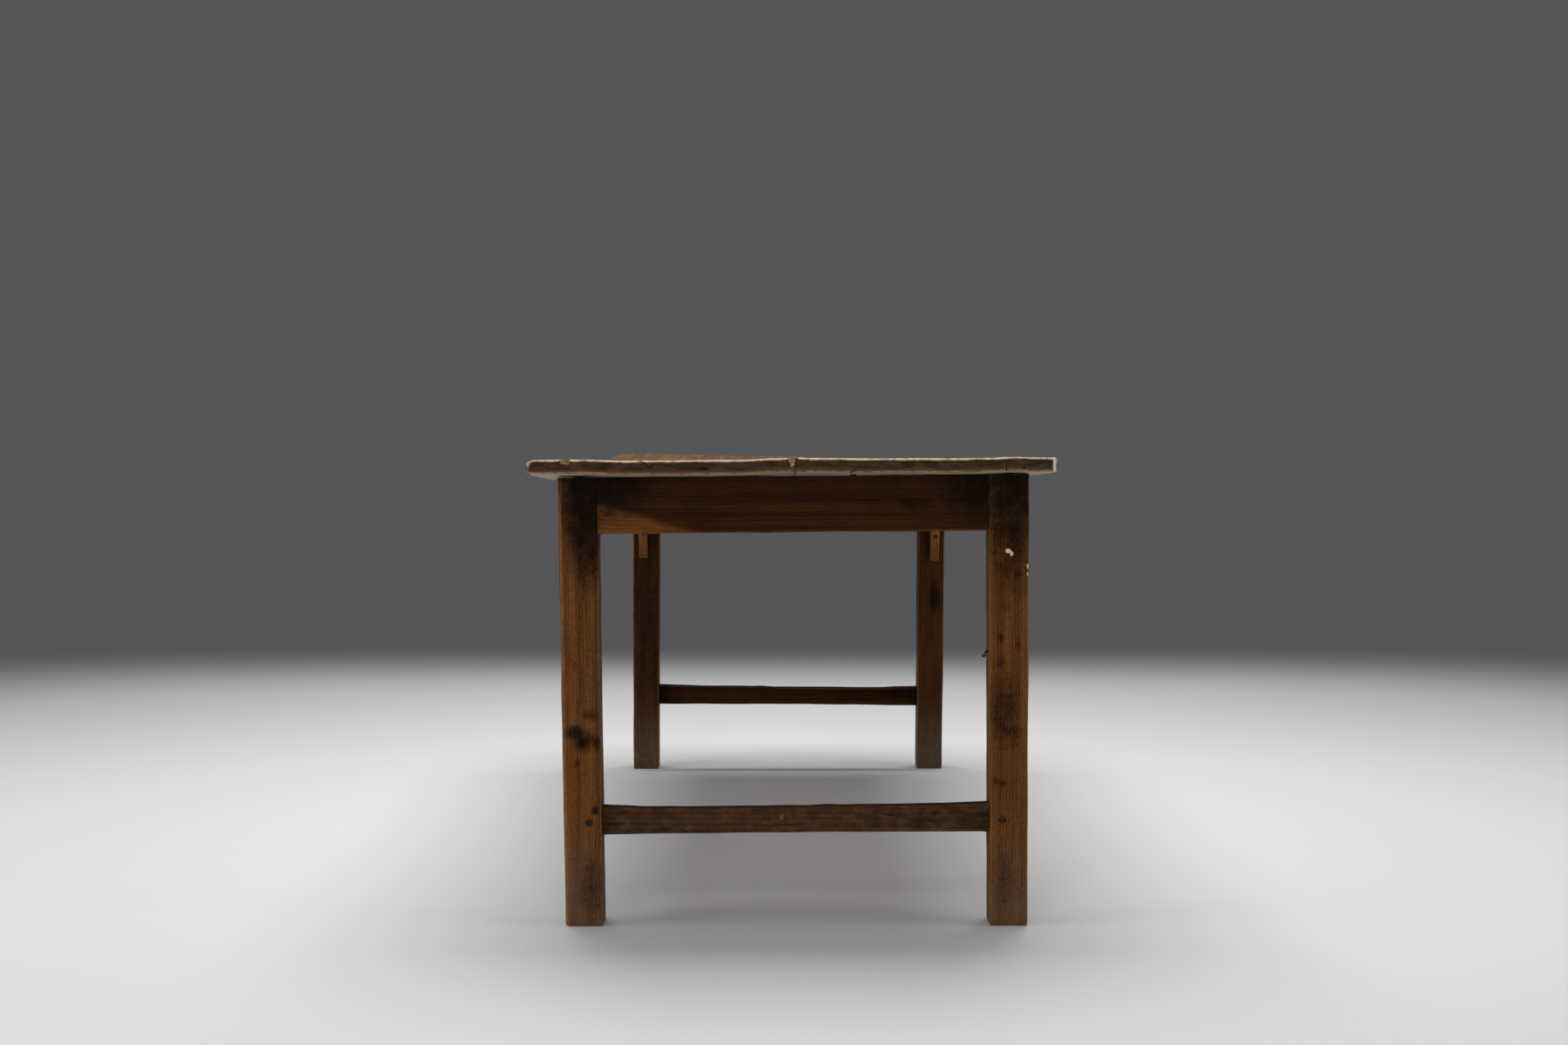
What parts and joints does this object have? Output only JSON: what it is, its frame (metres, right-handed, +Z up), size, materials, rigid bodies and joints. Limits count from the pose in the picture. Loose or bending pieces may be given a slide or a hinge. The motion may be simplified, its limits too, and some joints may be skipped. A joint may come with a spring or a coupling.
{
  "type": "farmhouse table",
  "caption": "Rustic plank-top table on a pegged frame of square legs, deep aprons, corner brackets and low cross stretchers.",
  "frame": {"origin": "on the floor, under the middle of the top", "axes": "+X across the table to the right seen from the front end, +Y along the table, +Z up"},
  "size_m": [0.847, 1.96, 0.763],
  "materials": {
    "top_wood": "worn wax",
    "frame_wood": "aged, hand planed",
    "stretcher_wood": "dusty, foot worn",
    "bracket_wood": "aged, hand planed",
    "peg_wood": "end grain",
    "iron": "dark, lightly rusted"
  },
  "bodies": {
    "root": {"bearer_front": "frame_wood", "bearer_rear": "frame_wood", "bracket_front_left": "bracket_wood", "bracket_front_right": "bracket_wood", "bracket_nails": "iron", "bracket_rear_left": "bracket_wood", "bracket_rear_right": "bracket_wood", "edge_dowels": "peg_wood", "end_apron_front": "frame_wood", "end_apron_pegs": "peg_wood", "end_apron_rear": "frame_wood", "leg_front_left": "frame_wood", "leg_front_right": "frame_wood", "leg_hook": "iron", "leg_rear_left": "frame_wood", "leg_rear_right": "frame_wood", "side_apron_left": "frame_wood", "side_apron_pegs": "peg_wood", "side_apron_right": "frame_wood", "stretcher_front": "stretcher_wood", "stretcher_pegs": "peg_wood", "stretcher_plug": "peg_wood", "stretcher_rear": "stretcher_wood", "top_board_left": "top_wood", "top_board_right": "top_wood", "top_pegs": "peg_wood"}
  },
  "joints": []
}
